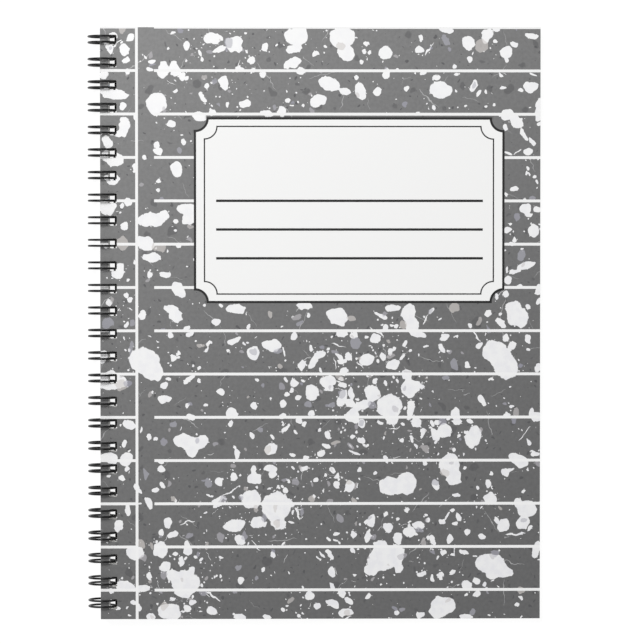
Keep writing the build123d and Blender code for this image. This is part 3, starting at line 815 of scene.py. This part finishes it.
def double_loop():
    """One loop with half of the straight run on each side, about the ring's centre."""
    along = Vector((0, 1, 0))
    up_the_ring = Vector((-sin(radians(root_angle)), 0, cos(radians(root_angle))))
    straight_run = outward_at(root_angle) * ring_radius + up_the_ring * bend_radius
    half_spacing = loop_spacing / 2
    run_angle = degrees(atan2(straight_run.z, straight_run.x))
    run_to_tip = (wire_diameter + tip_gap) / ring_radius + atan(half_spacing / ring_radius)
    tip_angle = run_angle + degrees(run_to_tip)
    loop_arc = radians(360 + root_angle - tip_angle)
    run_start = half_spacing + bend_radius
    wire_sides, bend_steps, ring_steps, tip_steps = 12, 6, 64, 12

    bm = bmesh.new()
    section = bmesh.ops.create_circle(bm, segments=wire_sides, radius=wire_diameter / 2)["verts"]
    bmesh.ops.rotate(bm, cent=(0, 0, 0), matrix=Matrix.Rotation(pi / 2, 3, "X"), verts=section)
    bmesh.ops.translate(bm, vec=straight_run - along * (loop_pitch / 2), verts=section)
    last = list(bm.edges)

    def drawn_along(reach):
        made = bmesh.ops.extrude_edge_only(bm, edges=last)["geom"]
        bmesh.ops.translate(bm, vec=along * reach, verts=only(made, bmesh.types.BMVert))
        return only(made, bmesh.types.BMEdge)

    def swept_round(centre, axis, angle, steps):
        made = bmesh.ops.spin(bm, geom=last, cent=centre, axis=axis, angle=angle, steps=steps)["geom_last"]
        return only(made, bmesh.types.BMEdge)

    def bend_centre(side):
        return outward_at(root_angle) * ring_radius + along * side * run_start

    last = drawn_along(loop_pitch / 2 - run_start)
    last = swept_round(bend_centre(-1), -outward_at(root_angle), radians(90), bend_steps)
    last = swept_round((0, 0, 0), along, loop_arc, ring_steps)
    last = swept_round(outward_at(tip_angle) * ring_radius, outward_at(tip_angle), radians(180), tip_steps)
    last = swept_round((0, 0, 0), -along, loop_arc, ring_steps)
    last = swept_round(bend_centre(1), -outward_at(root_angle), radians(90), bend_steps)
    last = drawn_along(loop_pitch / 2 - run_start)
    return bm


def nylon_coat():
    """Black nylon powder, melted on: smooth and half glossy, with a faint orange peel."""
    finish, tree, shader = new_finish("black_nylon", 0.3, Specular_IOR_Level=0.32)
    where = step(tree, "ShaderNodeTexCoord", {}, "Object")
    place = step(tree, "ShaderNodeMapping", {"Vector": where, "Scale": (1000, 1000, 1000)})
    peel = shade(tree, place, 3.0, 2.0)
    worn = rise(tree, shade(tree, place, 0.4, 3.0), 0.55, 0.75)
    colour = laid_over(tree, worn, (0.004, 0.004, 0.0045, 1), (0.010, 0.010, 0.011, 1))
    tree.links.new(colour, shader.inputs["Base Color"])
    relief(tree, shader, peel, 0.00001, 0.6)
    return finish


def sheared_steel():
    """The bare core where the wire is cut off."""
    finish, tree, shader = new_finish("sheared_steel", 0.38, Metallic=1.0)
    where = step(tree, "ShaderNodeTexCoord", {}, "Object")
    place = step(tree, "ShaderNodeMapping", {"Vector": where, "Scale": (9000, 1000, 1000)})
    streaks = shade(tree, place, 1.0, 3.0)
    colour = laid_over(tree, streaks, (0.34, 0.34, 0.35, 1), (0.62, 0.61, 0.60, 1))
    tree.links.new(colour, shader.inputs["Base Color"])
    relief(tree, shader, streaks, 0.000005, 0.6)
    return finish


comb = double_loop()
bmesh.ops.translate(comb, vec=(0, -loop_pitch * (loop_count - 1) / 2, 0), verts=comb.verts)
bmesh.ops.spin(
    comb, geom=list(comb.verts) + list(comb.edges) + list(comb.faces), dvec=(0, loop_pitch, 0),
    cent=(0, 0, 0), axis=(0, 1, 0), angle=0, steps=loop_count - 1, use_duplicate=True,
)
bmesh.ops.remove_doubles(comb, verts=comb.verts, dist=touching)
open_ends = [edge for edge in comb.edges if edge.is_boundary]
cut_ends = bmesh.ops.holes_fill(comb, edges=open_ends, sides=0)["faces"]
bmesh.ops.recalc_face_normals(comb, faces=comb.faces)
bmesh.ops.inset_region(comb, faces=cut_ends, thickness=core_inset, use_even_offset=True)
for face in comb.faces:
    face.smooth = True
for face in cut_ends:
    face.smooth = False
    face.material_index = 1
ring_place = Matrix.Translation(ring_middle) @ Matrix.Rotation(page_slope, 4, "Y")
bmesh.ops.transform(comb, matrix=ring_place, verts=comb.verts)
wire = new_piece(comb, "double_loop_wire", nylon_coat(), sheared_steel())
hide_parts("wire_binding")
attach(wire, "leaves")

# ---------------------------------------------------------------------------------------------------------
# Studio. A white sweep lit so brightly that it reads as plain white, a broad soft light over the head of
# the notebook, and the camera straight above.
# ---------------------------------------------------------------------------------------------------------
scene = bpy.context.scene
scene.view_settings.view_transform = "Standard"

floor_reach = 3
floor_gap = 0.00002  # below the notebook
floor_mesh = bmesh.new()
bmesh.ops.create_grid(floor_mesh, x_segments=1, y_segments=1, size=floor_reach)
floor_finish, _, floor_shader = new_finish("floor", 0.9, Specular_IOR_Level=0.1)
floor_shader.inputs["Base Color"].default_value = (0.16, 0.16, 0.16, 1)
floor_shader.inputs["Emission Color"].default_value = (1, 1, 1, 1)
floor_shader.inputs["Emission Strength"].default_value = 0.9
floor = new_piece(floor_mesh, "floor", floor_finish)
floor.location.z = cad_box[0][2] - floor_gap

world = bpy.data.worlds.new("studio")
world.use_nodes = True
background = world.node_tree.nodes["Background"]
background.inputs["Color"].default_value = (1, 1, 1, 1)
background.inputs["Strength"].default_value = 0.46
scene.world = world


def soft_light(name, place, target, width, height, power):
    """A rectangular soft light at place that faces target."""
    lamp = bpy.data.lights.new(name, "AREA")
    lamp.shape, lamp.size, lamp.size_y, lamp.energy = "RECTANGLE", width, height, power
    light = bpy.data.objects.new(name, lamp)
    light.location = place
    light.rotation_euler = (Vector(target) - Vector(place)).to_track_quat("-Z", "Y").to_euler()
    scene.collection.objects.link(light)


soft_light("head_light", place=(-0.4, 0.55, 1.25), target=(0, 0, 0), width=0.6, height=0.5, power=13.2)

camera_place = (0.003, 0.0283, 1.208)
camera_lean = atan2(0.02775, 1.2)  # it stands a little towards the head and leans back to the middle
camera = bpy.data.objects.new("camera", bpy.data.cameras.new("camera"))
camera.data.lens = 178.95
camera.location = camera_place
camera.rotation_euler = (-camera_lean, 0, 0)
scene.collection.objects.link(camera)
scene.camera = camera
